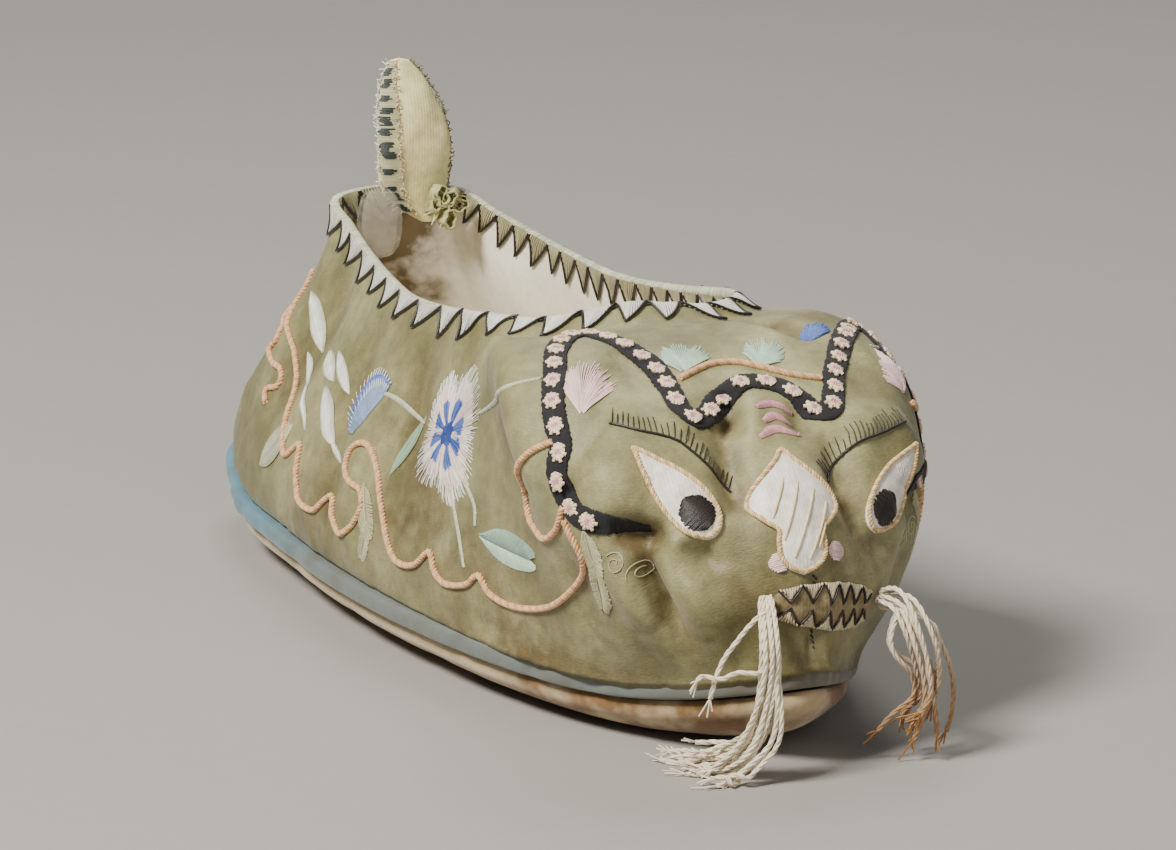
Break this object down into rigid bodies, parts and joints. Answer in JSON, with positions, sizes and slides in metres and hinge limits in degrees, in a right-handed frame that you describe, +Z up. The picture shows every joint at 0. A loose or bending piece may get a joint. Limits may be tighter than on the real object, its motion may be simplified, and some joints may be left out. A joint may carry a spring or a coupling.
{
  "type": "tiger head shoe",
  "caption": "Child's padded silk slipper with an embroidered tiger face at the toe, whisker tassels, a tail tab at the heel and a layered cloth sole.",
  "frame": {"origin": "on the floor, at the middle of the sole's flat underside", "axes": "+X to the toe, +Y to the wearer's left, +Z up"},
  "size_m": [0.1404, 0.0522, 0.0585],
  "materials": {
    "cotton_sole": "layered, pasted and stitched cotton cloth",
    "blue_silk": "faded blue silk over padding",
    "cotton_lining": "plain cream cotton",
    "green_silk": "olive green silk damask, slightly lustrous",
    "white_satin": "white floss in satin stitch",
    "black_ribbon": "woven black ribbon with pink and cream flowers",
    "white_silk": "white silk patches edged with couched cord",
    "pale_silk": "pale yellow green silk over padding",
    "grey_gauze": "sheer grey silk gauze",
    "cotton_yarn": "twisted cream cotton yarn"
  },
  "bodies": {
    "root": {"outsole": "cotton_sole", "midsole": "blue_silk", "insole": "cotton_lining", "upper": "green_silk", "topline_edging": "white_satin", "face_ribbon": "black_ribbon", "eye_right": "white_silk", "eye_left": "white_silk", "nose": "white_silk", "mouth": "white_silk", "heel_tab": "pale_silk", "gauze_loop": "grey_gauze", "ribbon_knot": "pale_silk", "tassel_right": "cotton_yarn", "tassel_left": "cotton_yarn"}
  },
  "joints": []
}
